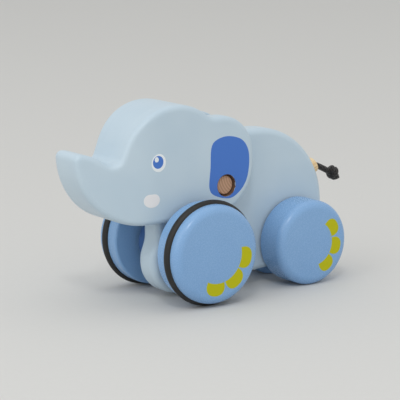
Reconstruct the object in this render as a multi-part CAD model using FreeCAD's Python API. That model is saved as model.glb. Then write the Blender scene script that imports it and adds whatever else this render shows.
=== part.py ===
import FreeCAD, Part
import math
import os

# A painted wooden elephant that rolls on four wheels and nods its head.
# Millimetres. +X runs towards the trunk, +Y is the toy's left side and +Z is up.
# Everything is drawn with x = 0 over the front axle and z = 0 on the floor. The last step moves
# the toy along X, so that its origin is on the floor under the middle of its length.

# ---------------------------------------------------------------- driving sizes
# wheels and their axles
wheelbase = 70.5
front_wheel_radius = 27.5       # over the rubber ring
ring_section = 5.0              # thickness of the rubber ring
ring_proud = 1.8                # how far the ring stands out of the wheel
ring_set_in = 8.0               # wheel's outer face to the middle of the ring
head_to_wheel = 2.3             # head's side to the front wheel's inner face
rear_wheel_radius = 22.9
wheel_width = 18.0
wheel_outer_rounding = 4.4
wheel_inner_rounding = 1.2
axle_diameter = 8.0
axle_grip = 11.0                # how deep an axle sits in a wheel's blind bore
axle_end_rounding = 0.6

# body plate, one upright board
plate_thickness = 14.4
plate_rounding = 3.4
body_top = 84.6
rump_radius = 43.6
rump_overhang = 20.3            # how far the rump reaches behind the rear axle
tuck_radius = 30.0              # lower back corner of the rump
foot_clearance = 1.9            # under the front foot
foot_reach = 19.9               # foot in front of the front axle
foot_radius = 17.4
foot_heel = 14.0                # flat of the foot behind the front axle
heel_radius = 25.0
leg_reach = 16.9                # leg in front of the front axle, above the foot
leg_bend = 23.0                 # height where the foot's bulge leans back
leg_bend_radius = 12.0
leg_waist = 31.0                # height where the leg is narrowest
leg_waist_radius = 14.0
belly_behind = 46.0             # middle of the belly, behind the front axle
belly_height = 7.9
belly_radius = 120.0
tail_end_height = 9.8           # underside at the back corner

# head: two cheeks glued to a core, which leaves a slot for the plate
head_width = 35.0
head_rounding = 2.8
slot_rounding = 1.2
slot_gap = 0.5                  # play on each side of the plate
underside = 42.6
trunk_tip = (67.2, 82.6)
trunk_tip_radius = 3.4
trunk_tip_width = 21.0
trunk_taper_start = 27.0        # in front of the front axle
trunk_bulge = (57.0, 80.4)      # on top of the trunk
trunk_bulge_radius = 30.0
chin_x = 65.0                   # corner that the chin's arc rounds off
chin_radius = 37.6
valley = (44.2, 72.6)           # where the trunk meets the forehead
valley_radius = 5.0
crown_centre = (10.8, 72.0)
crown_radius = 30.9
brow_angle = 20.0               # where the forehead leaves the crown's circle
ear_back = -37.2
ear_top = 94.9
ear_top_radius = 20.0
ear_low_radius = 27.0
nape_radius = 9.0               # hollow between crown and ear
slot_top = (-9.0, 96.0)         # the slot's front wall runs from here
slot_bottom_x = 18.2            # to here, at the underside

# head pivot
pivot = (-19.4, 58.6)
pivot_diameter = 10.0
pivot_recess = 1.6              # dowel end below the cheek's face
pivot_end_rounding = 0.7
mouth_play = 0.8                # round the dowel, in the bore's wider mouth
mouth_depth = 3.0
head_lift = 10.0                # degrees, up to where the slot stops on the plate
plate_gap = 0.5                 # left between the slot's wall and the plate

# nodding cams on the front axle
cam_width = 8.0
cam_throw = 1.25                # how far the cam's centre is off the axle's
cam_gap = 0.3                   # to the cheeks, with the high side up

# washers and running fits
washer_thickness = 0.8
washer_diameter = 15.0
washer_play = 0.4               # round the axle
side_play = 0.2                 # beside a washer
running_gap = 0.08              # radial, shaft in a wooden bore

# tail: a wooden plug that holds the end of a knotted cord
plug_diameter = 8.5
plug_depth = 14.0               # in the rump
plug_proud = 3.4
plug_end_rounding = 0.8
plug_angle = 24.5               # degrees above level, pointing back
cord_diameter = 3.3
cord_grip = 7.0                 # the cord's end below the plug's end
cord_mouth_play = 1.25          # round the cord where its hole is opened for the bend
cord_mouth_depth = 3.6
bend_share = 0.45               # of the shorter run, taken up by the bend
knot_from_plug = (-13.6, -6.3)  # the cord's run past the plug's end, along X and Z
knot_radius = 3.8
stub_from_knot = (-3.2, -3.6)

# ---------------------------------------------------------------- worked-out sizes
half_plate = plate_thickness / 2.0
half_head = head_width / 2.0
trunk_taper_blend = 2.2 * head_width
half_slot = half_plate + slot_gap
axle_radius = axle_diameter / 2.0
flange_radius = front_wheel_radius - ring_proud
ring_circle = front_wheel_radius - ring_section / 2.0
front_wheel_inside = half_head + head_to_wheel
front_wheel_outside = front_wheel_inside + wheel_width
beside_washer = half_plate + washer_thickness + side_play
cam_radius = underside - cam_gap - cam_throw - front_wheel_radius
rump_x = -wheelbase - rump_overhang
slot_bottom = (slot_bottom_x, underside)
front_axle_at = (0.0, front_wheel_radius)
rear_axle_at = (-wheelbase, rear_wheel_radius)
far = 400.0                     # past every piece, for cutting
past_head = 20.0                # past the head's ends, for its plan outline


def vec(x, y, z):
    return FreeCAD.Vector(x, y, z)


# ---------------------------------------------------------------- shape helpers
def side_view(u, v):
    return vec(u, 0, v)


def top_view(u, v):
    return vec(u, v, 0)


def rounded_outline(corners, place=side_view):
    """A closed wire through corners (u, v, radius). A tangent arc rounds each corner.

    Where two neighbouring arcs are too large for the side between them, both get smaller.
    """
    points = [vec(u, v, 0) for u, v, radius in corners]
    count = len(points)
    sides = [(points[(i + 1) % count] - points[i]).Length for i in range(count)]
    to_last = [(points[i - 1] - points[i]).normalize() for i in range(count)]
    to_next = [(points[(i + 1) % count] - points[i]).normalize() for i in range(count)]
    half_angles = [to_last[i].getAngle(to_next[i]) / 2.0 for i in range(count)]
    setbacks = [corners[i][2] / math.tan(half_angles[i]) for i in range(count)]
    used = [(setbacks[i] + setbacks[(i + 1) % count]) / sides[i] for i in range(count)]
    rounded = []
    for i, here in enumerate(points):
        if setbacks[i] == 0:
            rounded.append([here])
            continue
        setback = setbacks[i] / max(1.0, used[i - 1], used[i])
        radius = setback * math.tan(half_angles[i])
        inwards = (to_last[i] + to_next[i]).normalize()
        middle = here + inwards * (radius / math.sin(half_angles[i]) - radius)
        rounded.append([here + to_last[i] * setback, middle, here + to_next[i] * setback])
    edges = []
    for i, run in enumerate(rounded):
        if len(run) == 3:
            arc = [place(p.x, p.y) for p in run]
            edges.append(Part.Arc(arc[0], arc[1], arc[2]).toShape())
        end = run[-1]
        start = rounded[(i + 1) % count][0]
        if (start - end).Length > 1e-6:
            edges.append(Part.LineSegment(place(end.x, end.y), place(start.x, start.y)).toShape())
    return Part.Wire(edges)


def board(corners, low_y, high_y):
    """An upright board: an outline in X and Z, thick along Y."""
    solid = Part.Face(rounded_outline(corners)).extrude(vec(0, high_y - low_y, 0))
    solid.translate(vec(0, low_y, 0))
    return solid


def disc(centre, radius, low_y, high_y):
    return Part.makeCylinder(radius, high_y - low_y, vec(centre[0], low_y, centre[1]), vec(0, 1, 0))


def turned(profile, centre):
    """A solid turned about a line along Y. The profile lists (radius, y, corner radius)."""
    wire = rounded_outline(profile, lambda r, y: vec(centre[0] + r, y, centre[1]))
    return Part.Face(wire).revolve(vec(centre[0], 0, centre[1]), vec(0, 1, 0), 360)


def mirrored(shape):
    return shape.mirror(vec(0, 0, 0), vec(0, 1, 0))


def lies_in(edge, y):
    box = edge.BoundBox
    return abs(box.YMin - y) < 1e-4 and abs(box.YMax - y) < 1e-4


def is_upright_line(edge, x, z):
    """True for an edge along Y at this x and z."""
    box = edge.BoundBox
    return max(abs(box.XMin - x), abs(box.XMax - x), abs(box.ZMin - z), abs(box.ZMax - z)) < 0.01


# ---------------------------------------------------------------- head
def head_block():
    """The whole head before its slot is cut: side outline and crown disc, in a tapered plan."""
    brow = math.radians(brow_angle)
    brow_point = (crown_centre[0] + crown_radius * math.cos(brow),
                  crown_centre[1] + crown_radius * math.sin(brow))
    ear_rise = ear_top - crown_centre[1]
    nape = (crown_centre[0] - math.sqrt(crown_radius ** 2 - ear_rise ** 2), ear_top)
    jaw = board([
        (ear_back, underside, ear_low_radius),
        (chin_x, underside, chin_radius),
        trunk_tip + (trunk_tip_radius,),
        trunk_bulge + (trunk_bulge_radius,),
        valley + (valley_radius,),
        brow_point + (0,),
        crown_centre + (0,),
        nape + (0,),
        (ear_back, ear_top, ear_top_radius),
    ], -half_head, half_head)
    crown = disc(crown_centre, crown_radius, -half_head, half_head)
    upper = Part.makeBox(far, far, far, vec(-far / 2, -far / 2, crown_centre[1]))
    block = jaw.fuse(crown.common(upper)).removeSplitter()
    block = block.makeFillet(nape_radius, [e for e in block.Edges if is_upright_line(e, nape[0], nape[1])])
    slope = (half_head - trunk_tip_width / 2.0) / (trunk_tip[0] - trunk_taper_start)
    half_past = half_head - slope * (trunk_tip[0] + past_head - trunk_taper_start)
    plan = Part.Face(rounded_outline([
        (ear_back - past_head, -half_head, 0),
        (trunk_taper_start, -half_head, trunk_taper_blend),
        (trunk_tip[0] + past_head, -half_past, 0),
        (trunk_tip[0] + past_head, half_past, 0),
        (trunk_taper_start, half_head, trunk_taper_blend),
        (ear_back - past_head, half_head, 0),
    ], top_view))
    return block.common(plan.extrude(vec(0, 0, far)))


def rims_of(block):
    """The edges that run round the head's two side faces. Seams inside a side are left out."""
    found = []
    for face in block.Faces:
        low_u, high_u, low_v, high_v = face.ParameterRange
        normal = face.normalAt((low_u + high_u) / 2.0, (low_v + high_v) / 2.0)
        if abs(normal.y) > 0.7:
            found.extend(face.Edges)
    return [edge for edge in found if sum(edge.isSame(other) for other in found) == 1]


def slot_line():
    """The foot of the slot's slanted front wall, and the unit vector that points up it."""
    foot = side_view(*slot_bottom)
    return foot, (side_view(*slot_top) - foot).normalize()


def slot_front(grown=0.0):
    """Everything in front of the slot's wall and above the underside, grown by a gap."""
    foot, run = slot_line()
    back = vec(-run.z, 0, run.x) * grown
    low = foot - run * grown + back
    high = foot + run * far + back
    wire = Part.makePolygon([low, high, vec(far, 0, high.z), vec(far, 0, low.z), low])
    solid = Part.Face(wire).extrude(vec(0, 2 * far, 0))
    solid.translate(vec(0, -far, 0))
    return solid


def lifted(shape, degrees):
    """The shape as it stands when the head is lifted, nose up, about the dowel."""
    turned_shape = shape.copy()
    turned_shape.rotate(vec(pivot[0], 0, pivot[1]), vec(0, -1, 0), degrees)
    return turned_shape


def beside_slot(edge):
    """True where a cheek's inner rim borders the open slot, clear of the glued core."""
    foot, run = slot_line()
    ahead = [(vertex.Point - foot).dot(vec(run.z, 0, -run.x)) for vertex in edge.Vertexes]
    return max(ahead) <= 0.0


def make_head():
    block = head_block()
    block = block.makeFillet(head_rounding, rims_of(block))
    middle = Part.makeBox(2 * far, 2 * half_slot, 2 * far, vec(-far, -half_slot, -far))
    outer = Part.makeBox(2 * far, far, 2 * far, vec(-far, half_slot, -far))
    core = block.common(middle).common(slot_front())
    cheek = block.common(outer)
    freed = [edge for edge in cheek.Edges if lies_in(edge, half_slot) and beside_slot(edge)]
    cheek = cheek.makeFillet(slot_rounding, freed)
    dowel_radius = pivot_diameter / 2.0
    cheek = cheek.cut(disc(pivot, dowel_radius + running_gap, 0, far))
    cheek = cheek.cut(disc(pivot, dowel_radius + mouth_play, half_head - mouth_depth, far))
    return core, cheek


# ---------------------------------------------------------------- body plate
def make_plate():
    plate = board([
        (-foot_heel, foot_clearance, heel_radius),
        (foot_reach, foot_clearance, foot_radius),
        (foot_reach, leg_bend, leg_bend_radius),
        (leg_reach, leg_waist, leg_waist_radius),
        (leg_reach, body_top, 0),
        (rump_x, body_top, rump_radius),
        (rump_x, tail_end_height, tuck_radius),
        (-belly_behind, belly_height, belly_radius),
    ], -half_plate, half_plate)
    for degrees in (0.0, head_lift):
        plate = plate.cut(lifted(slot_front(grown=plate_gap), degrees))
    rims = [edge for edge in plate.Edges if lies_in(edge, half_plate) or lies_in(edge, -half_plate)]
    plate = plate.makeFillet(plate_rounding, rims)
    plate = plate.cut(disc(pivot, pivot_diameter / 2.0, -far, far))
    for centre in (front_axle_at, rear_axle_at):
        plate = plate.cut(disc(centre, axle_radius + running_gap, -far, far))
    return plate.cut(along_plug(plug_diameter / 2.0, plug_depth + plug_proud, far))


# ---------------------------------------------------------------- turned parts
def rod(radius, half_length, rounding, centre):
    """A dowel through the middle plane with softened ends."""
    profile = [(0, -half_length, 0), (radius, -half_length, rounding),
               (radius, half_length, rounding), (0, half_length, 0)]
    return turned(profile, centre)


def wheel(radius, inside, centre):
    """A left wheel: softened edges and a blind bore that grips its axle."""
    outside = inside + wheel_width
    solid = turned([(0, inside, 0), (radius, inside, wheel_inner_rounding),
                    (radius, outside, wheel_outer_rounding), (0, outside, 0)], centre)
    return solid.cut(disc(centre, axle_radius, inside - 1.0, inside + axle_grip))


def rubber_ring():
    y = front_wheel_outside - ring_set_in
    middle = vec(front_axle_at[0], y, front_axle_at[1])
    return Part.makeTorus(ring_circle, ring_section / 2.0, middle, vec(0, 1, 0))


def washer(centre):
    ring = disc(centre, washer_diameter / 2.0, half_plate, half_plate + washer_thickness)
    return ring.cut(disc(centre, axle_radius + washer_play, 0, far))


def nod_cam():
    """An off-centre disc on the front axle, drawn with its high side down."""
    centre = (front_axle_at[0], front_axle_at[1] - cam_throw)
    solid = disc(centre, cam_radius, beside_washer, beside_washer + cam_width)
    return solid.cut(disc(front_axle_at, axle_radius, 0, far))


# ---------------------------------------------------------------- tail
def plug_end():
    """The middle of the plug's outer end, and the unit vector that points out along its axis."""
    angle = math.radians(plug_angle)
    outwards = vec(-math.cos(angle), 0, math.sin(angle))
    rump_centre = vec(rump_x + rump_radius, 0, body_top - rump_radius)
    return rump_centre + outwards * (rump_radius + plug_proud), outwards


def along_plug(radius, depth, beyond=0.0):
    """A cylinder on the plug's axis, from a depth below the plug's end to beyond it."""
    end, outwards = plug_end()
    return Part.makeCylinder(radius, depth + beyond, end - outwards * depth, outwards)


def make_plug():
    end, outwards = plug_end()
    plug = along_plug(plug_diameter / 2.0, plug_depth + plug_proud)
    outer_rim = [edge for edge in plug.Edges if (edge.CenterOfMass - end).Length < 0.01]
    plug = plug.makeFillet(plug_end_rounding, outer_rim)
    plug = plug.cut(along_plug(cord_diameter / 2.0, cord_grip, far))
    return plug.cut(along_plug(cord_diameter / 2.0 + cord_mouth_play, cord_mouth_depth, far))


def make_cord():
    """The tail's round cord: two straight runs joined by one tangent arc, a knot and its stub."""
    bend, outwards = plug_end()
    start = bend - outwards * cord_grip
    knot = bend + side_view(*knot_from_plug)
    to_start = (start - bend).normalize()
    to_knot = (knot - bend).normalize()
    half_angle = to_start.getAngle(to_knot) / 2.0
    setback = bend_share * min((start - bend).Length, (knot - bend).Length)
    bend_radius = setback * math.tan(half_angle)
    inwards = (to_start + to_knot).normalize()
    arc_middle = bend + inwards * (bend_radius / math.sin(half_angle) - bend_radius)
    arc_start = bend + to_start * setback
    arc_end = bend + to_knot * setback
    path = Part.Wire([
        Part.LineSegment(start, arc_start).toShape(),
        Part.Arc(arc_start, arc_middle, arc_end).toShape(),
        Part.LineSegment(arc_end, knot).toShape(),
    ])
    section = Part.Wire([Part.Circle(start, to_start, cord_diameter / 2.0).toShape()])
    tube = path.makePipeShell([section], True, False)
    measure = tube.Volume / (math.pi * (cord_diameter / 2.0) ** 2 * path.Length)
    print("tail cord: bend radius %.2f, tube volume over section times length %.4f"
          % (bend_radius, measure))
    ball = Part.makeSphere(knot_radius, knot)
    tail = side_view(*stub_from_knot)
    stub = Part.makeCylinder(cord_diameter / 2.0, tail.Length, knot, tail)
    return tube.cut(ball), ball, stub.cut(ball)


# ---------------------------------------------------------------- the whole toy
def make_toy():
    ring = rubber_ring()
    core, cheek = make_head()
    cord, knot, stub = make_cord()
    toy = {
        "body_plate": make_plate(),
        "pivot_dowel": rod(pivot_diameter / 2.0, half_head - pivot_recess, pivot_end_rounding, pivot),
        "head_core": core,
        "front_axle": rod(axle_radius, front_wheel_inside + axle_grip, axle_end_rounding, front_axle_at),
        "rear_axle": rod(axle_radius, beside_washer + axle_grip, axle_end_rounding, rear_axle_at),
        "tail_plug": make_plug(),
        "tail_cord": cord,
        "tail_knot": knot,
        "tail_stub": stub,
    }
    left_pieces = {
        "head_cheek": cheek,
        "front_wheel": wheel(flange_radius, front_wheel_inside, front_axle_at).cut(ring),
        "front_tyre": ring,
        "nod_cam": nod_cam(),
        "front_washer": washer(front_axle_at),
        "rear_wheel": wheel(rear_wheel_radius, beside_washer, rear_axle_at),
        "rear_washer": washer(rear_axle_at),
    }
    for name, shape in left_pieces.items():
        toy["left_" + name] = shape
        toy["right_" + name] = mirrored(shape)
    return toy


def save(toy):
    """Move the toy over its origin and write each piece to its own file."""
    os.makedirs("parts", exist_ok=True)
    reach = toy["head_core"].optimalBoundingBox(False, False).XMax
    back = toy["left_rear_wheel"].optimalBoundingBox(False, False).XMin
    shift = -(reach + back) / 2.0
    print("front axle at x = %.4f" % shift)
    for name, shape in toy.items():
        solid = shape.Solids[0]
        solid.translate(vec(shift, 0, 0))
        solid.exportStep("parts/" + name + ".step")
        box = solid.optimalBoundingBox(False, False)
        print("%-18s %d solid, valid %s, %8.0f mm3, x %7.2f %7.2f, y %6.2f %6.2f, z %6.2f %6.2f" % (
            name, len(shape.Solids), solid.isValid(), solid.Volume,
            box.XMin, box.XMax, box.YMin, box.YMax, box.ZMin, box.ZMax))


save(make_toy())
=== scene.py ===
# %% [markdown]
# # A pull-along elephant in painted beech
#
# This lesson dresses a small wooden pull-along toy: a flat body plate with four thick
# wheels, and a loose head that nods on a dowel. The wood parts come ready from the packed
# CAD model, and all but the head stay as they are. Here they get their paint, their
# printed face, ears and toenails, and a knotted cord for a tail.
#
# The CAD model is the fixed frame: one unit is a metre, +X is the way the toy faces and
# +Z is up. New pieces take their places from it, or are measured from its front axle.

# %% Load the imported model
import math

import bmesh
import bpy
import numpy as np
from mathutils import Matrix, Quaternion, Vector


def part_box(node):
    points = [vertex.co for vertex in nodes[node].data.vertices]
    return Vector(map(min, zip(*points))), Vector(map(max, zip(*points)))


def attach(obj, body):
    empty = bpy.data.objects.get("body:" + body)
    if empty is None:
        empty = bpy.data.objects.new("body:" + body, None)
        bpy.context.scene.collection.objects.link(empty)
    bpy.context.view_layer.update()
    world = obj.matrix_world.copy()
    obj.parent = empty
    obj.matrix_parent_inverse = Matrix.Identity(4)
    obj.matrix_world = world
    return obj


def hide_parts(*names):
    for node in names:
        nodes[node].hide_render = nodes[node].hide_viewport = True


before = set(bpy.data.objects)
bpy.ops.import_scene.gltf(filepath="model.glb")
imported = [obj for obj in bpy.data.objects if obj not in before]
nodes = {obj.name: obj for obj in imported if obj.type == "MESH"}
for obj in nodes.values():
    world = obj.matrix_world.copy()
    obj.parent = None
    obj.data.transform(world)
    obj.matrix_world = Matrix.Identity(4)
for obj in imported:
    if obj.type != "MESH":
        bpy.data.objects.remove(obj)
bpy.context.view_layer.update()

mm = 0.001

# %% [markdown]
# ## The camera
#
# A long lens from a little under a metre away keeps the toy's proportions true, as a
# product shot does. The camera is given as a point to aim at, a distance, an azimuth, an
# elevation and a slight roll, because each can be changed without disturbing the others.
# The Standard view transform shows paint in its own colours: a filmic one would grey them.

# %% Camera
aim = Vector((24.4, 37.8, 57.5)) * mm
camera_distance = 0.900
camera_azimuth = math.radians(55.68)
camera_elevation = math.radians(10.89)
camera_roll = math.radians(-0.23)
sensor_width = 36.0
focal_length = 161.9

towards_camera = Vector((
    math.cos(camera_elevation) * math.cos(camera_azimuth),
    math.cos(camera_elevation) * math.sin(camera_azimuth),
    math.sin(camera_elevation),
))
lens = bpy.data.cameras.new("camera")
lens.sensor_width = sensor_width
lens.lens = focal_length
camera = bpy.data.objects.new("camera", lens)
bpy.context.scene.collection.objects.link(camera)
camera.location = aim + towards_camera * camera_distance
camera.rotation_mode = "QUATERNION"
unrolled = (-towards_camera).to_track_quat("-Z", "Y")
camera.rotation_quaternion = unrolled @ Quaternion((0, 0, 1), camera_roll)
bpy.context.scene.camera = camera
bpy.context.scene.view_settings.view_transform = "Standard"
print("camera at", [round(c, 3) for c in camera.location])

# %% [markdown]
# ## Places on the toy
#
# The driving places are few: the two axles, the pivot that the head nods on, the head's
# half width and the wheels' outer faces. Boxes of the CAD nodes give them. The prints are
# measured from the front axle, as a printer's drawing of this head would be.

# %% Places from the frame


def middle(node):
    low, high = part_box(node)
    return (low + high) / 2


front_axle = middle("front_axle")
rear_axle = middle("rear_axle")
pivot = middle("pivot_dowel")
head_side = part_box("left_head_cheek")[1].y
front_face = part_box("left_front_wheel")[1].y
rear_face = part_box("left_rear_wheel")[1].y
print("wheelbase %.1f mm, head %.1f mm wide" % ((front_axle.x - rear_axle.x) / mm, 2 * head_side / mm))


def from_front_axle(x, z):
    """A point on the middle plane: x mm in front of the front axle, and z mm over the floor."""
    return np.array([front_axle.x + x * mm, 0.0, z * mm])


# %% [markdown]
# ## The tail: one cord with an overhand knot
#
# The tail is about five and a half centimetres of waxed cotton cord, 3.3 mm thick. One end
# is glued into a bore in the wooden plug, and an overhand knot near the other end stops it
# fraying. A ball on a stick would do from afar, but a knot is nothing more than the same
# cord going round itself, so the curve does just that: along the middle, back round in a
# turn and a half, then out through its own turns. A knot pulled tight squeezes its cord,
# so here the turns lie closer than a thickness and sink into each other. The cord is one
# NURBS curve drawn by a few points, made a mesh once it has its thickness.

# %% The cord's line
cord_thickness = 3.3 * mm
glued_length = 7.0 * mm
plug_tilt = math.radians(24.5)
plug_outwards = np.array([-math.cos(plug_tilt), 0.0, math.sin(plug_tilt)])
plug_end = from_front_axle(-89.97, 60.49)
cord_start = plug_end - glued_length * plug_outwards
knot_middle = plug_end + np.array([-13.6, 0.0, -6.3]) * mm
stub_end = knot_middle + np.array([-2.9, 0.0, -3.4]) * mm

run = (knot_middle - plug_end) / np.linalg.norm(knot_middle - plug_end)
across = np.array([0.0, 1.0, 0.0])
above = np.cross(run, across)


def knot_turns(radius, turns, length, per_turn, first_angle):
    """Points round the run: the angle grows evenly while the point goes back towards the plug."""
    share = np.linspace(0.0, 1.0, int(turns * per_turn) + 1)[:, None]
    angle = first_angle + 2 * math.pi * turns * share
    back = length * (0.5 - share)
    return knot_middle + run * back + radius * (np.cos(angle) * across + np.sin(angle) * above)


def in_knot(forward, sideways, upward):
    """A point by its distances from the knot's middle in millimetres."""
    return knot_middle + (forward * run + sideways * across + upward * above) * mm


route = np.vstack([
    cord_start,
    plug_end,
    plug_end + run * 7.0 * mm,
    in_knot(-4.8, 0.3, 0.2),
    in_knot(-0.5, 0.5, 0.5),
    in_knot(2.6, 1.1, 0.7),
    knot_turns(radius=2.3 * mm, turns=1.5, length=3.2 * mm, per_turn=6, first_angle=math.pi / 2),
    in_knot(-2.7, 1.5, -1.7),
    in_knot(-1.9, 1.4, 0.2),
    in_knot(1.4, -0.3, -0.6),
    stub_end,
])


def nurbs_line(name, points):
    """An open curve of order 3 that starts and ends at its first and last points."""
    data = bpy.data.curves.new(name, "CURVE")
    data.dimensions = "3D"
    spline = data.splines.new("NURBS")
    spline.points.add(len(points) - 1)
    spline.points.foreach_set("co", np.column_stack([points, np.ones(len(points))]).ravel())
    spline.order_u = 3
    spline.use_endpoint_u = True
    spline.resolution_u = 12
    return data


def as_mesh(curve):
    """The mesh that a curve's own data makes."""
    carrier = bpy.data.objects.new(curve.name, curve)
    mesh = bpy.data.meshes.new_from_object(carrier)
    bpy.data.objects.remove(carrier)
    return mesh


tail_line = nurbs_line("tail_line", route)
bare_line = as_mesh(tail_line)
line_points = np.empty(len(bare_line.vertices) * 3)
bare_line.vertices.foreach_get("co", line_points)
line_points = line_points.reshape(-1, 3)
cord_length = np.linalg.norm(np.diff(line_points, axis=0), axis=1).sum()

tail_line.bevel_depth = cord_thickness / 2
tail_line.bevel_resolution = 8
tail_line.use_fill_caps = True
tail_mesh = as_mesh(tail_line)
weld_distance = 1e-7
welded = bmesh.new()
welded.from_mesh(tail_mesh)
bmesh.ops.remove_doubles(welded, verts=welded.verts, dist=weld_distance)
welded.to_mesh(tail_mesh)
welded.free()
tail_mesh.name = "knotted_tail_cord"
tail = bpy.data.objects.new("knotted_tail_cord", tail_mesh)
bpy.context.scene.collection.objects.link(tail)
print("cord length %.1f mm, %d faces, UV maps %s"
      % (cord_length / mm, len(tail_mesh.polygons), [layer.name for layer in tail_mesh.uv_layers]))

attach(tail, "body")
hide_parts("tail_cord", "tail_knot", "tail_stub")

# %% [markdown]
# ## Colour and nodes
#
# Paint makers give colours as sRGB hex codes, but a shader works in linear light, so one
# function turns the first into the second. A second small function adds a node with its
# settings and links in one line, which keeps each material short enough to read.

# %% Helpers for materials


def linear(code):
    """sRGB hex to linear RGBA: a channel over 0.04045 is ((c + 0.055) / 1.055) to the power 2.4."""
    channels = np.array([int(code[i:i + 2], 16) for i in (1, 3, 5)]) / 255
    light = np.where(channels <= 0.04045, channels / 12.92, ((channels + 0.055) / 1.055) ** 2.4)
    return (*light.tolist(), 1.0)


def add(tree, kind, inputs=(), **settings):
    """Adds a node, sets its properties, and fills or links each (socket, value) pair of inputs."""
    node = tree.nodes.new("ShaderNode" + kind)
    for name, value in settings.items():
        setattr(node, name, value)
    for socket, value in dict(inputs).items():
        if isinstance(value, bpy.types.NodeSocket):
            tree.links.new(value, node.inputs[socket])
        else:
            node.inputs[socket].default_value = value
    return node


def new_material(name):
    """A material with only its Principled shader, as the material, its node tree and that shader."""
    material = bpy.data.materials.new(name)
    material.use_nodes = True
    return material, material.node_tree, material.node_tree.nodes["Principled BSDF"]


def in_millimetres(tree, centre=(0, 0, 0), turn=(0, 0, 0), stretch=(1, 1, 1)):
    """Object coordinates in millimetres about a centre in metres, turned and then stretched."""
    place = add(tree, "TexCoord").outputs["Object"]
    from_centre = add(tree, "VectorMath", {0: place, 1: tuple(centre)}, operation="SUBTRACT")
    per_mm = (1 / mm,) * 3
    turned = add(tree, "Mapping", {"Vector": from_centre.outputs[0], "Rotation": turn, "Scale": per_mm})
    return add(tree, "Mapping", {"Vector": turned.outputs[0], "Scale": stretch}).outputs[0]


# A Mix node has sockets for each kind of value. These are the numbers of its colours.
first_colour, second_colour, mixed_colour = 6, 7, 2
# A wave texture of scale 1 repeats each 2 pi / 20 units, so this over a spacing is its scale.
wave_repeat = 2 * math.pi / 20


# %% [markdown]
# ## Sprayed satin enamel
#
# The wood is sanded beech under two coats of sprayed water-based enamel, as nursery toys
# are. Such paint is never a flat colour. Its thickness drifts slowly, which shifts the tone
# by about three percent over some centimetres. Fibres a millimetre wide telegraph through
# it along the grain, and the drying spray leaves an orange peel of about half a millimetre.
# The sheen is satin: an IOR of 1.5, and a roughness of 0.36 on the body and the head and
# 0.27 on the glossier wheels. The nod cams are duller, at 0.5, and a dark navy that is
# painted shade, for the shade between the far wheel and the leg where they show.

# %% Enamel
drift_size, fibre_width, peel_size, lathe_spacing = 28, 1.1, 0.55, 0.9  # millimetres


def enamel(name, thick, thin, roughness, centre=(0, 0, 0), lathe=0.0, bore=0.0):
    """Satin paint between two hex colours. With lathe over 0, faint rings run round an axle at centre.

    With bore over 0, the colour turns dark brown closer than that to the axis through centre:
    bare wood, as in a hole drilled after painting, darkened as painted shade in the hole.
    """
    material, tree, shader = new_material(name)
    place = in_millimetres(tree, centre)
    grain = in_millimetres(tree, centre, stretch=(0.07, 1.0, 1.0))
    drift = add(tree, "TexNoise", {"Vector": place, "Scale": 1 / drift_size, "Detail": 2.0}).outputs["Fac"]
    fibres = add(tree, "TexNoise", {"Vector": grain, "Scale": 1 / fibre_width, "Detail": 3.0}).outputs["Fac"]
    peel = add(tree, "TexNoise", {"Vector": place, "Scale": 1 / peel_size, "Detail": 1.0}).outputs["Fac"]
    thinness = add(tree, "MapRange", {"Value": drift, "To Min": -0.6, "To Max": 1.6}).outputs[0]
    tone = add(tree, "Mix", {"Factor": thinness, first_colour: linear(thick), second_colour: linear(thin)},
               data_type="RGBA").outputs[mixed_colour]
    shade = add(tree, "MapRange", {"Value": fibres, "From Min": 0.3, "From Max": 0.7,
                                   "To Min": 0.0, "To Max": 0.10}).outputs[0]
    coat = add(tree, "Mix", {"Factor": shade, first_colour: tone, second_colour: linear(thin)},
               data_type="RGBA").outputs[mixed_colour]
    # Inside the bore a dark brown replaces the paint: bare wood, darker than the beech itself as painted
    # shade in the hole.
    if bore:
        flat = add(tree, "Mapping", {"Vector": place, "Scale": (1.0, 0.0, 1.0)}).outputs[0]
        off_axis = add(tree, "VectorMath", {0: flat}, operation="LENGTH").outputs["Value"]
        bore_shade_mask = add(tree, "Math", {0: off_axis, 1: bore / mm}, operation="LESS_THAN").outputs[0]
        coat = add(tree, "Mix", {"Factor": bore_shade_mask, first_colour: coat, second_colour: linear("#6E5340")},
                   data_type="RGBA").outputs[mixed_colour]
    tree.links.new(coat, shader.inputs["Base Color"])
    gloss = add(tree, "MapRange", {"Value": peel, "To Min": roughness - 0.05, "To Max": roughness + 0.05})
    tree.links.new(gloss.outputs[0], shader.inputs["Roughness"])
    bump = add(tree, "Bump", {"Height": fibres, "Strength": 0.5, "Distance": 0.02 * mm})
    bump = add(tree, "Bump", {"Height": peel, "Strength": 0.4, "Distance": 0.002 * mm,
                              "Normal": bump.outputs[0]})
    if lathe:
        rings = add(tree, "TexWave", {"Vector": place, "Scale": wave_repeat / lathe_spacing,
                                      "Distortion": 0.6},
                    wave_type="RINGS", rings_direction="Y").outputs["Fac"]
        bump = add(tree, "Bump", {"Height": rings, "Strength": lathe, "Distance": 0.006 * mm,
                                  "Normal": bump.outputs[0]})
    tree.links.new(bump.outputs[0], shader.inputs["Normal"])
    shader.inputs["IOR"].default_value = 1.5
    return material


pale_colours = ("#BBCFDD", "#C3D5E1", 0.36)
wheel_colours = ("#7FA9D7", "#86AFDB", 0.27)
dowel_opening = 5.9 * mm
pale_enamel = enamel("pale_blue_satin_enamel_on_beech", *pale_colours)
# The head's paint turns dark brown inside the dowel's opening: bare wood with painted shade in the hole.
head_enamel = enamel("pale_blue_satin_enamel_head_with_painted_bore_shade", *pale_colours, pivot, bore=dowel_opening)
front_wheel_enamel = enamel("cornflower_satin_enamel_front_wheels", *wheel_colours, front_axle, lathe=0.5)
rear_wheel_enamel = enamel("cornflower_satin_enamel_rear_wheels", *wheel_colours, rear_axle, lathe=0.5)
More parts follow.
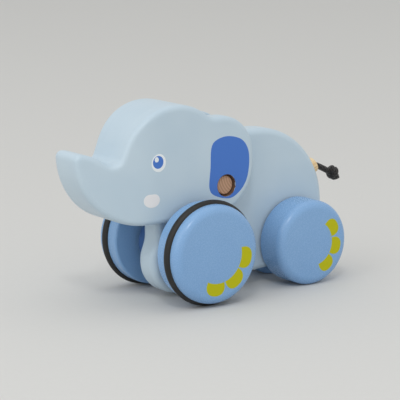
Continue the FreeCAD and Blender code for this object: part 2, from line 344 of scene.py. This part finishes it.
# The cams' dark navy is painted shade: it stands for the shade in the gap between the far wheel and the leg.
cam_shade_navy = enamel("navy_painted_shade_nod_cams", "#3C5F94", "#43689E", 0.5, front_axle, lathe=0.5)
print("paints", sorted(material.name for material in bpy.data.materials))

# %% [markdown]
# ## Bare beech
#
# The dowel, the axles, the plug and the washers are left bare. Beech is pale straw with a
# slightly darker latewood line each 1.5 mm or so, and short brown flecks. Here wood is a
# solid pattern, not a picture: growth rings round a pith that lies beside the piece, and
# fibres along it. The same pattern then shows arcs on a cut end and lines on a side, as
# real timber does, with nothing to line up.

# %% Beech
wood_fibre, pore_spacing = 0.35, 0.55  # millimetres


def beech(name, early, late, centre, turn, ring_spacing=1.5, pith=(9.0, 5.0)):
    """Growth rings round a pith beside the piece, with fibres and flecks along its own axis."""
    material, tree, shader = new_material(name)
    about_pith = in_millimetres(tree, Vector(centre), turn)
    beside_pith = add(tree, "VectorMath", {0: about_pith, 1: (*pith, 0.0)}, operation="ADD").outputs[0]
    along = in_millimetres(tree, Vector(centre), turn, stretch=(1.0, 1.0, 0.06))
    rings = add(tree, "TexWave", {"Vector": beside_pith, "Scale": wave_repeat / ring_spacing,
                                  "Distortion": 1.2, "Detail": 2.0, "Detail Scale": 0.4},
                wave_type="RINGS", rings_direction="Z").outputs["Fac"]
    fibres = add(tree, "TexNoise", {"Vector": along, "Scale": 1 / wood_fibre, "Detail": 4.0}).outputs["Fac"]
    # Beech pores are under 0.1 mm. They are drawn three times as wide so that they show.
    pores = add(tree, "TexVoronoi", {"Vector": along, "Scale": 1 / pore_spacing}).outputs["Distance"]
    specks = add(tree, "MapRange", {"Value": pores, "From Min": 0.1, "From Max": 0.28,
                                    "To Min": 0.55, "To Max": 0.0}).outputs[0]
    broken = add(tree, "MapRange", {"Value": fibres, "To Min": 0.4, "To Max": 1.3}).outputs[0]
    lines = add(tree, "Math", {0: rings, 1: broken}, operation="MULTIPLY").outputs[0]
    wood = add(tree, "Mix", {"Factor": lines, first_colour: linear(early), second_colour: linear(late)},
               data_type="RGBA").outputs[mixed_colour]
    flecked = add(tree, "Mix", {"Factor": specks, first_colour: wood, second_colour: linear("#8A6444")},
                  data_type="RGBA").outputs[mixed_colour]
    tree.links.new(flecked, shader.inputs["Base Color"])
    dullness = add(tree, "MapRange", {"Value": fibres, "To Min": 0.55, "To Max": 0.75}).outputs[0]
    tree.links.new(dullness, shader.inputs["Roughness"])
    bump = add(tree, "Bump", {"Height": fibres, "Strength": 0.7, "Distance": 0.05 * mm})
    tree.links.new(bump.outputs[0], shader.inputs["Normal"])
    return material


across_toy = (math.pi / 2, 0.0, 0.0)
along_plug = (0.0, math.pi / 2 - plug_tilt, 0.0)
dowel_wood = beech("beech_dowel_end_grain", "#C9A184", "#A77F62", pivot, across_toy)
axle_wood = beech("beech_axle_rod", "#DDBE95", "#C29A6D", front_axle, across_toy)
plug_wood = beech("beech_turned_plug", "#F0D8AE", "#D9B684", plug_end, along_plug, ring_spacing=1.2)
print("beech", [wood.name for wood in (dowel_wood, axle_wood, plug_wood)])

# %% [markdown]
# ## Rubber and cord
#
# The tyres are nitrile O-rings: near black, dull, with a fine moulded grain and a bloom of
# grey dust in it. The cord is black cotton, braided round a core and waxed. A braid is two
# sets of strands that cross, so its pattern is two sets of diagonal ridges that follow the
# cord's own UV map, u along it and v round it, and the higher of them shows on top.

# %% Rubber
moulded_grain, dust_patch = 0.4, 9  # millimetres


def nitrile(name):
    """Dull black with a fine grain, and a little grey dust in patches."""
    material, tree, shader = new_material(name)
    place = in_millimetres(tree)
    grain = add(tree, "TexNoise", {"Vector": place, "Scale": 1 / moulded_grain, "Detail": 3.0}).outputs["Fac"]
    smear = add(tree, "TexNoise", {"Vector": place, "Scale": 1 / dust_patch, "Detail": 2.0}).outputs["Fac"]
    dust = add(tree, "MapRange", {"Value": smear, "From Min": 0.5, "From Max": 0.8,
                                  "To Min": 0.0, "To Max": 0.35}).outputs[0]
    dusty = add(tree, "Mix", {"Factor": dust, first_colour: linear("#1B1A19"),
                              second_colour: linear("#3A3836")},
                data_type="RGBA").outputs[mixed_colour]
    tree.links.new(dusty, shader.inputs["Base Color"])
    dullness = add(tree, "MapRange", {"Value": grain, "To Min": 0.48, "To Max": 0.62}).outputs[0]
    tree.links.new(dullness, shader.inputs["Roughness"])
    bump = add(tree, "Bump", {"Height": grain, "Strength": 0.6, "Distance": 0.03 * mm})
    tree.links.new(bump.outputs[0], shader.inputs["Normal"])
    return material


rubber = nitrile("nitrile_rubber_o_ring")

# %% Braided cord


def braid(name, length, thickness, strand=0.9 * mm):
    """Two sets of diagonal ridges on the cord's UV map, u along it and v round it, and the higher of them."""
    material, tree, shader = new_material(name)
    uv = add(tree, "TexCoord").outputs["UV"]
    round_it = max(4, round(math.pi * thickness / strand / 2))
    along_it = round(length / (2.2 * strand))
    parts = add(tree, "SeparateXYZ", {0: uv}).outputs
    rise = add(tree, "Math", {0: parts["X"], 1: 2 * math.pi * along_it}, operation="MULTIPLY").outputs[0]
    turn = add(tree, "Math", {0: parts["Y"], 1: 2 * math.pi * round_it}, operation="MULTIPLY").outputs[0]
    lean_left = add(tree, "Math", {0: rise, 1: turn}, operation="ADD").outputs[0]
    lean_right = add(tree, "Math", {0: rise, 1: turn}, operation="SUBTRACT").outputs[0]
    ridges = [add(tree, "Math", {0: lean}, operation="SINE").outputs[0] for lean in (lean_left, lean_right)]
    height = add(tree, "Math", {0: ridges[0], 1: ridges[1]}, operation="MAXIMUM").outputs[0]
    # Down in the grooves the colour is darker and the gloss lower; up on the ridges it is lighter and
    # glossier.
    ridge_share = add(tree, "MapRange", {"Value": height, "From Min": 0.2, "From Max": 1.0,
                                  "To Min": 0.0, "To Max": 1.0}).outputs[0]
    colour = add(tree, "Mix", {"Factor": ridge_share, first_colour: linear("#070505"),
                               second_colour: linear("#1B1615")},
                 data_type="RGBA").outputs[mixed_colour]
    tree.links.new(colour, shader.inputs["Base Color"])
    dullness = add(tree, "MapRange", {"Value": ridge_share, "To Min": 0.65, "To Max": 0.42}).outputs[0]
    tree.links.new(dullness, shader.inputs["Roughness"])
    bump = add(tree, "Bump", {"Height": height, "Strength": 0.8, "Distance": 0.25 * mm})
    tree.links.new(bump.outputs[0], shader.inputs["Normal"])
    shader.inputs["Sheen Weight"].default_value = 0.15
    return material


tail.data.materials.append(braid("waxed_cotton_braid", cord_length, cord_thickness))

# %% Finishes on the CAD nodes
finishes = {
    pale_enamel: ("body_plate",),
    front_wheel_enamel: ("left_front_wheel", "right_front_wheel"),
    cam_shade_navy: ("left_nod_cam", "right_nod_cam"),
    rear_wheel_enamel: ("left_rear_wheel", "right_rear_wheel"),
    rubber: ("left_front_tyre", "right_front_tyre"),
    dowel_wood: ("pivot_dowel",),
    plug_wood: ("tail_plug",),
    axle_wood: ("front_axle", "rear_axle", "left_front_washer", "right_front_washer",
                "left_rear_washer", "right_rear_washer"),
}
for material, names in finishes.items():
    for name in names:
        nodes[name].data.materials.clear()
        nodes[name].data.materials.append(material)
print("finished", sum(len(names) for names in finishes.values()), "nodes")

# %% [markdown]
# ## The head under its paint
#
# The head is glued up from a middle board and two cheeks, and then sprayed as one, so the
# paint runs over the glue lines and hides them. The three boards touch face to face. A
# boolean union makes one skin of them, which is what the paint is, and keeps every rim and
# the slot where they were cut. The copies are merged before the union, because a packed
# mesh is loose triangles and a union needs closed shells. Its long thin triangles would
# shade badly, so an even grid of 0.7 mm cells is wrapped round it: a quarter of the 2.8 mm
# rounding, which is fine enough to keep it.

# %% One skin over the three boards
merge_distance = 2e-6
skin_cell = 0.7 * mm
sharp_angle = math.radians(35)

def closed_copy(node):
    """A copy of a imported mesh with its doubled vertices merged."""
    mesh = node.data.copy()
    shape = bmesh.new()
    shape.from_mesh(mesh)
    bmesh.ops.remove_doubles(shape, verts=shape.verts, dist=merge_distance)
    bmesh.ops.dissolve_degenerate(shape, edges=shape.edges, dist=weld_distance)
    open_edges = sum(len(edge.link_faces) != 2 for edge in shape.edges)
    shape.to_mesh(mesh)
    shape.free()
    copy = bpy.data.objects.new(node.name + "_copy", mesh)
    bpy.context.scene.collection.objects.link(copy)
    print(node.name, "open edges", open_edges)
    return copy


boards = [closed_copy(nodes[name]) for name in ("head_core", "left_head_cheek", "right_head_cheek")]
for board in boards[1:]:
    join = boards[0].modifiers.new("join", "BOOLEAN")
    join.operation = "UNION"
    join.object = board
    join.solver = "EXACT"
even = boards[0].modifiers.new("even", "REMESH")
even.mode = "VOXEL"
even.voxel_size = skin_cell
depsgraph = bpy.context.evaluated_depsgraph_get()
skin = bpy.data.meshes.new_from_object(boards[0].evaluated_get(depsgraph))
for board in boards:
    bpy.data.objects.remove(board)
skin.name = "painted_head"
skin.materials.clear()
skin.materials.append(head_enamel)
skin.polygons.foreach_set("use_smooth", np.ones(len(skin.polygons), bool))
skin.set_sharp_from_angle(angle=sharp_angle)
head = bpy.data.objects.new("painted_head", skin)
bpy.context.scene.collection.objects.link(head)
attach(head, "head")
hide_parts("head_core", "left_head_cheek", "right_head_cheek")
print("head skin", len(skin.polygons), "faces")

# %% [markdown]
# ## Printed ink
#
# The face, the ears and the toenails are pad-printed: a soft pad sets down a film of ink
# with a crisp edge. A mask in the paint's material could draw it, but a film is a thing of
# its own, with its own gloss and an edge that catches light, so each print is a thin
# closed sheet that sits on the wood. A sheet is a grid: columns go round its outline, rows
# go out from its middle over the top, over the rim, and back underneath in the wood.

# %% A closed sheet of ink
ink_film, iris_film, glint_film = 0.05 * mm, 0.08 * mm, 0.11 * mm


def solid_from_grid(name, points, closed_rows, body, material):
    """Quads between neighbours of a rows by columns grid. Columns always close, rows where asked."""
    rows, columns = points.shape[:2]
    number = np.arange(rows * columns).reshape(rows, columns)
    across_one = np.roll(number, -1, axis=1)
    last = rows if closed_rows else rows - 1
    next_row = np.roll(number, -1, axis=0)
    next_both = np.roll(across_one, -1, axis=0)
    quads = np.stack([number, across_one, next_both, next_row], axis=-1)[:last].reshape(-1, 4)
    mesh = bpy.data.meshes.new(name)
    mesh.from_pydata(points.reshape(-1, 3).tolist(), [], quads.tolist())
    shape = bmesh.new()
    shape.from_mesh(mesh)
    bmesh.ops.remove_doubles(shape, verts=shape.verts, dist=weld_distance)
    bmesh.ops.recalc_face_normals(shape, faces=shape.faces)
    shape.to_mesh(mesh)
    shape.free()
    mesh.polygons.foreach_set("use_smooth", np.ones(len(mesh.polygons), bool))
    mesh.set_sharp_from_angle(angle=sharp_angle)
    mesh.materials.append(material)
    piece = bpy.data.objects.new(name, mesh)
    bpy.context.scene.collection.objects.link(piece)
    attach(piece, body)
def ink_sheet(name, outline, surface, side, body, slot, material, film=ink_film, hole=None):
    """Each point lies a share of the way from the middle, or from the hole's edge, to the outline.

    Its height over the surface goes by its row, in films: one on top, less over the softened
    rim, and four deep in the wood underneath.
    """
    share = np.array([0.0, 0.3, 0.6, 0.85, 0.97, 0.992, 1.0, 1.0, 0.6, 0.0])
    height = np.array([1.0, 1.0, 1.0, 1.0, 1.0, 0.85, 0.4, -4.0, -4.0, -4.0])
    inner = outline.mean(axis=0) if hole is None else hole
    flat = inner + share[:, None, None] * (outline - inner)
    x, z = flat[..., 0], flat[..., 1]
    y = side * (surface(x) + film * height[:, None])
    points = np.stack([x, y, z], axis=-1)
    solid_from_grid(name, points, hole is not None, body, material)


# %% [markdown]
# The head is flat at the sides over the ears, and thins towards the trunk: an arc of 77 mm
# radius, 2.2 times the head's width, leads from the flat side into a straight slant. Eye
# and tusk lie over that arc, so their sheets need its height at each point, which is the
# side of the head less the circle's drop. Left and right prints differ only in the sign of
# y.

# %% The head's side
taper_start = front_axle.x + 27.0 * mm
taper_length = 40.2 * mm
taper_end_half_width = 10.5 * mm
taper_blend = 2.2 * 2 * head_side


def head_surface(x):
    """Half width at x: level to the arc's start, then less a circle's drop, then a slope as at its end."""
    slope = (head_side - taper_end_half_width) / taper_length
    angle = math.atan(slope)
    arc_start = taper_start - taper_blend * math.tan(angle / 2)
    arc_run = taper_blend * math.sin(angle)
    past = np.clip(x - arc_start, 0.0, arc_run)
    drop = taper_blend - np.sqrt(taper_blend ** 2 - past ** 2)
    return head_side - drop - slope * np.clip(x - arc_start - arc_run, 0.0, None)


def level(height):
    """A flat face at one height, as on the wheels."""
    return lambda x: np.full_like(x, height)


# %% Inks
mottle_size = 0.6  # millimetres


def ink(name, code, roughness=0.35):
    """A solid spot colour, a little thicker and darker in places, with a fine mottle in its gloss."""
    material, tree, shader = new_material(name)
    place = in_millimetres(tree)
    mottle = add(tree, "TexNoise", {"Vector": place, "Scale": 1 / mottle_size, "Detail": 3.0}).outputs["Fac"]
    thicker = tuple(c * 0.90 for c in linear(code)[:3]) + (1.0,)
    share = add(tree, "MapRange", {"Value": mottle, "To Min": 0.0, "To Max": 0.8}).outputs[0]
    tone = add(tree, "Mix", {"Factor": share, first_colour: linear(code), second_colour: thicker},
               data_type="RGBA").outputs[mixed_colour]
    tree.links.new(tone, shader.inputs["Base Color"])
    gloss = add(tree, "MapRange", {"Value": mottle, "To Min": roughness - 0.06, "To Max": roughness + 0.06})
    tree.links.new(gloss.outputs[0], shader.inputs["Roughness"])
    bump = add(tree, "Bump", {"Height": mottle, "Strength": 0.4, "Distance": 0.01 * mm})
    tree.links.new(bump.outputs[0], shader.inputs["Normal"])
    shader.inputs["Specular IOR Level"].default_value = 0.25
    return material


blue_ink = ink("pad_print_ink_blue", "#4C7CCE")
white_ink = ink("pad_print_ink_white", "#EDF3F6")
tusk_ink = ink("pad_print_ink_warm_white", "#EDEDEF")
nail_ink = ink("pad_print_ink_olive", "#C0BE00")

# %% [markdown]
# ## Eye, tusk and ear
#
# The eye is three prints over each other: a white oval, a blue oval set forward in it, and
# a white glint. Each sits 0.03 mm higher than the last. An oval is the point
# (a cos t, b sin t) round its middle. The tusk is a soft heart: an oval whose radius dips
# once at the top. The ear is drawn as a loop through a few places along its edge, and it
# leaves out a round hole over the dowel, whose end shows in its opening.

# %% Outlines
outline_points = 96
turn_angles = np.linspace(0.0, 2 * math.pi, outline_points, endpoint=False)


def oval(x, z, half_length, half_height, tilt=0.0):
    """Middle plus (a cos t, b sin t), turned by the tilt."""
    c, s = math.cos(math.radians(tilt)), math.sin(math.radians(tilt))
    u, v = half_length * np.cos(turn_angles), half_height * np.sin(turn_angles)
    flat = np.stack([x + c * u - s * v, z + s * u + c * v], axis=1) * mm
    return flat + np.array([front_axle.x, 0.0])


def heart(x, z, half_length, half_height, dip):
    """An oval whose radius is cut by dip times the eighth power of the upward sine."""
    upward = np.clip(np.sin(turn_angles), 0.0, 1.0) ** 8
    around = np.stack([half_length * np.cos(turn_angles), half_height * np.sin(turn_angles)], axis=1)
    flat = around * (1.0 - dip * upward)[:, None] + np.array([x, z])
    return flat * mm + np.array([front_axle.x, 0.0])


def smooth_loop(corners, steps=8):
    """A closed Catmull-Rom curve: the cubic from b to c leaves along c - a and arrives along d - b."""
    b = np.array(corners, float)[:, None]
    a, c, d = np.roll(b, 1, axis=0), np.roll(b, -1, axis=0), np.roll(b, -2, axis=0)
    t = np.linspace(0.0, 1.0, steps, endpoint=False)[None, :, None]
    bend = 2 * a - 5 * b + 4 * c - d
    twist = 3 * b - a - 3 * c + d
    loop = 0.5 * (2 * b + (c - a) * t + bend * t ** 2 + twist * t ** 3)
    return loop.reshape(-1, 2) * mm + np.array([front_axle.x, 0.0])


ear_edge = smooth_loop([(-9.9, 79.0), (-9.3, 68.5), (-8.6, 58.4), (-12.0, 54.0), (-21.6, 51.7),
                        (-28.4, 55.3), (-32.4, 61.2), (-33.9, 69.5), (-33.0, 76.8), (-28.8, 82.1),
                        (-20.5, 84.4), (-13.2, 83.0)])
pivot_place = np.array([pivot.x, pivot.z])
from_pivot = ear_edge - pivot_place
pivot_distance = np.linalg.norm(from_pivot, axis=1)[:, None]
ear_hole = pivot_place + dowel_opening * from_pivot / pivot_distance
print("ear", len(ear_edge), "points round")

# %% Print both sides of the head
pale, blue = "pale_blue_paint", "blue_paint"
for side, where in ((1, "left"), (-1, "right")):
    base = (head_surface, side, "head")
    ink_sheet(where + "_eye_white", oval(22.3, 74.5, 4.2, 4.6, 12), *base, pale, white_ink)
    ink_sheet(where + "_iris", oval(22.7, 74.9, 3.1, 3.3, 12), *base, blue, blue_ink, film=iris_film)
    ink_sheet(where + "_glint", oval(23.6, 76.3, 1.2, 1.35), *base, pale, white_ink, film=glint_film)
    ink_sheet(where + "_tusk", heart(26.5, 55.6, 4.6, 3.7, 0.16), *base, pale, tusk_ink)
    ink_sheet(where + "_ear", ear_edge, *base, blue, blue_ink, hole=ear_hole)
print("printed eye, tusk and ear on both sides")

# %% [markdown]
# ## Toenails
#
# Each wheel is a foot, with three olive toenails near its rim. A nail is a D: its inner
# edge is an arc round the axle, and its outer edge swells from one corner to the other.
# With s running from -1 to 1 across the nail, the outer radius is the inner one plus the
# depth times (1 - |s|^2.6)^0.5, which is full in the middle and steep at the corners.

# %% Print the wheels
outer_points, inner_points = 40, 24


def toenail(axle, middle_angle, half_angle, inner, depth):
    """The outer edge from s = -1 to 1, then the inner edge back, as points in the wheel's plane."""
    s = np.linspace(-1.0, 1.0, outer_points)
    swell = inner + depth * np.sqrt(np.clip(1.0 - np.abs(s) ** 2.6, 0.0, None))
    s_back = np.linspace(0.9, -0.9, inner_points)
    radius = np.concatenate([swell, np.full(inner_points, inner)])
    angle = math.radians(middle_angle) + math.radians(half_angle) * np.concatenate([s, s_back])
    flat = np.stack([radius * np.cos(angle), radius * np.sin(angle)], axis=1) * mm
    return flat + np.array([axle.x, axle.z])


feet = (
    ("front", "front_wheels", front_axle, front_face, (190.0, 233.0, 276.0), 20.5, 14.6, 6.5),
    ("rear", "rear_wheels", rear_axle, rear_face, (148.0, 191.0, 235.0), 20.5, 12.0, 6.2),
)
for foot, body, axle, face, angles, half_angle, inner, depth in feet:
    for side, where in ((1, "left"), (-1, "right")):
        for count, angle in enumerate(angles, 1):
            name = "%s_%s_toenail_%d" % (where, foot, count)
            nail = toenail(axle, angle, half_angle, inner, depth)
            ink_sheet(name, nail, level(face), side, body, blue, nail_ink)
print("printed 12 toenails")

# %% [markdown]
# ## Floor and light
#
# A sheet of pale card runs under the toy and off into the distance. One big softbox hangs
# above, one stands to the camera's left and one behind it, and a pale room fills the rest.
# Large soft lights suit satin paint. One small lamp high over the camera is added only for
# the thin bright line that it draws along each rounding that faces it.

# %% Floor
card_fibre = 3  # millimetres


def card(name, code):
    """Matt card with a faint fibre mottle."""
    material, tree, shader = new_material(name)
    place = in_millimetres(tree)
    mottle = add(tree, "TexNoise", {"Vector": place, "Scale": 1 / card_fibre, "Detail": 3.0}).outputs["Fac"]
    darker = tuple(c * 0.97 for c in linear(code)[:3]) + (1.0,)
    tone = add(tree, "Mix", {"Factor": mottle, first_colour: linear(code), second_colour: darker},
               data_type="RGBA").outputs[mixed_colour]
    tree.links.new(tone, shader.inputs["Base Color"])
    shader.inputs["Roughness"].default_value = 0.9
    return material


floor_mesh = bpy.data.meshes.new("floor")
reach = 6.0
floor_mesh.from_pydata([(-reach, -reach, 0), (reach, -reach, 0), (reach, reach, 0), (-reach, reach, 0)],
                       [], [(0, 1, 2, 3)])
floor_mesh.materials.append(card("matt_card", "#D6D6D4"))
floor = bpy.data.objects.new("floor", floor_mesh)
bpy.context.scene.collection.objects.link(floor)

# %% Lights
lit_point = Vector((0, 0, 0.05))


def softbox(name, place, size, watts):
    """A square area light at a place in metres, turned to face the toy."""
    light = bpy.data.lights.new(name, "AREA")
    light.size = size
    light.energy = watts
    lamp = bpy.data.objects.new(name, light)
    bpy.context.scene.collection.objects.link(lamp)
    lamp.location = place
    lamp.rotation_mode = "QUATERNION"
    lamp.rotation_quaternion = (lit_point - Vector(place)).to_track_quat("-Z", "Y")


softbox("overhead_softbox", (0.0, 0.0, 2.2), size=2.2, watts=5.0)
softbox("left_softbox", (2.0, 0.4, 1.3), size=1.6, watts=9.0)
softbox("front_softbox", (0.8, 2.0, 1.0), size=1.6, watts=1.0)
softbox("highlight_lamp", (0.62, 0.84, 1.21), size=0.22, watts=3.4)
world = bpy.data.worlds.new("pale_room")
world.use_nodes = True
room = world.node_tree.nodes["Background"]
room.inputs["Color"].default_value = linear("#DDDDDC")
room.inputs["Strength"].default_value = 0.98
bpy.context.scene.world = world
